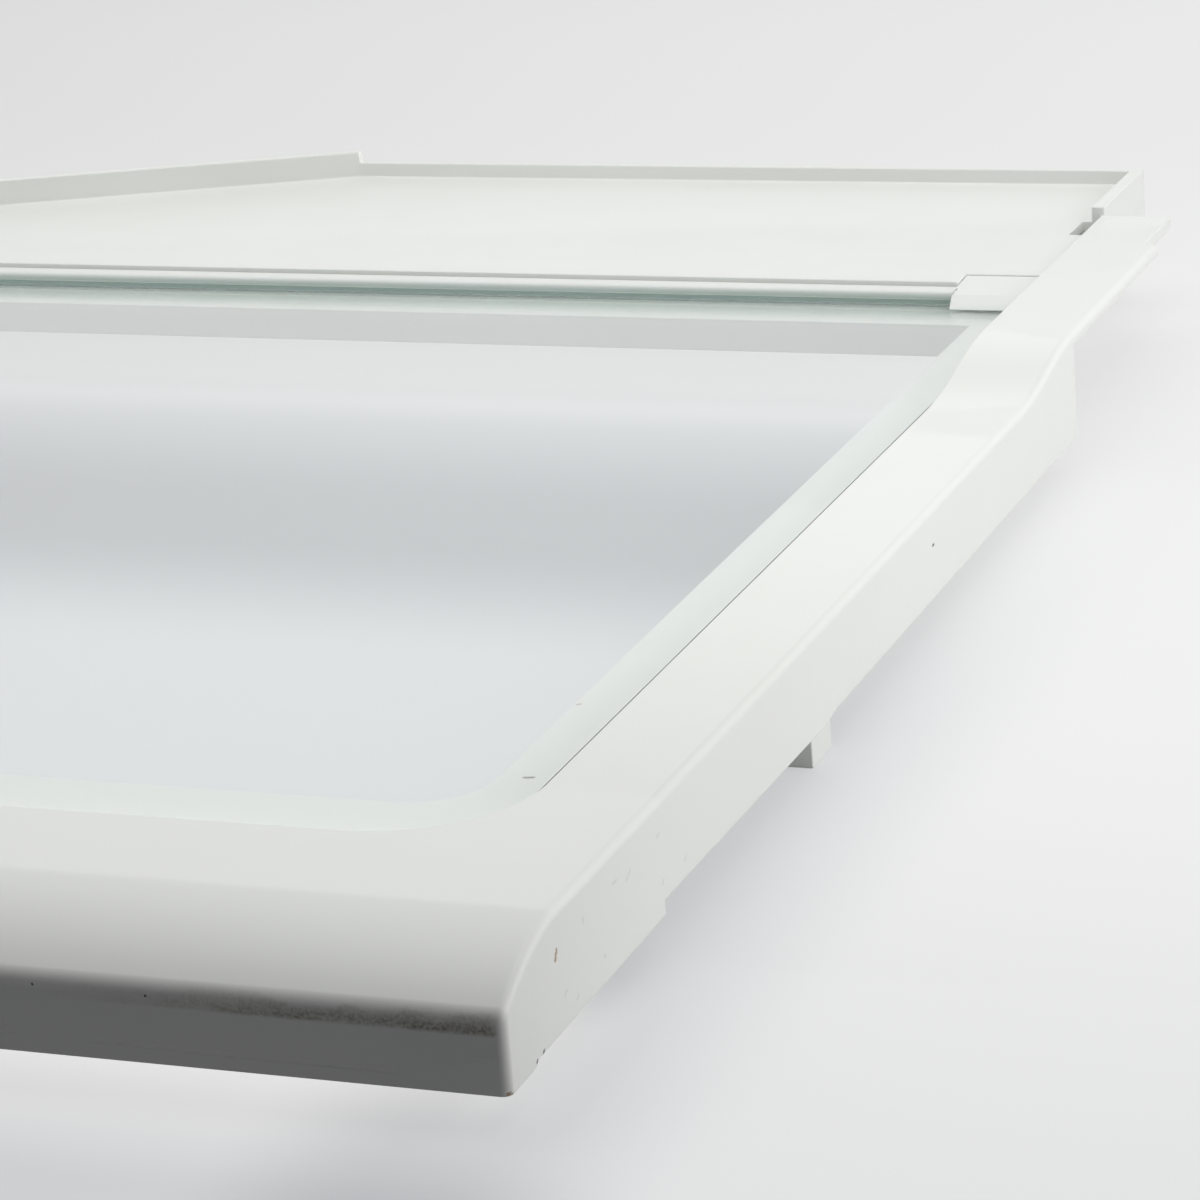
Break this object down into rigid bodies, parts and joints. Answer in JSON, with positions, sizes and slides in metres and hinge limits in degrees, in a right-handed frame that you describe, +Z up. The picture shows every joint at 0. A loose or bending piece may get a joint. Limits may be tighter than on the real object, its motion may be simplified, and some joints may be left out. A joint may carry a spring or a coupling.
{
  "type": "fridge crisper cover",
  "caption": "Glass-topped shelf frame that covers a fridge crisper drawer, with a crowned front fascia, raised side arms and a lipped rear deck with a duct notch.",
  "frame": {"origin": "middle of the bounding box, at the height of the feet's undersides", "axes": "+X to the right side rail, +Y to the rear deck, +Z up; the front fascia faces -Y"},
  "size_m": [0.66, 0.435, 0.0324],
  "materials": {
    "white_moulding": "satin white moulded plastic with light wear and grime",
    "glass": "clear tempered glass with a green edge",
    "white_retainer": "satin white moulded plastic"
  },
  "bodies": {
    "root": {"frame": "white_moulding", "glass_pane": "glass", "glass_retainer": "white_retainer"}
  },
  "joints": []
}
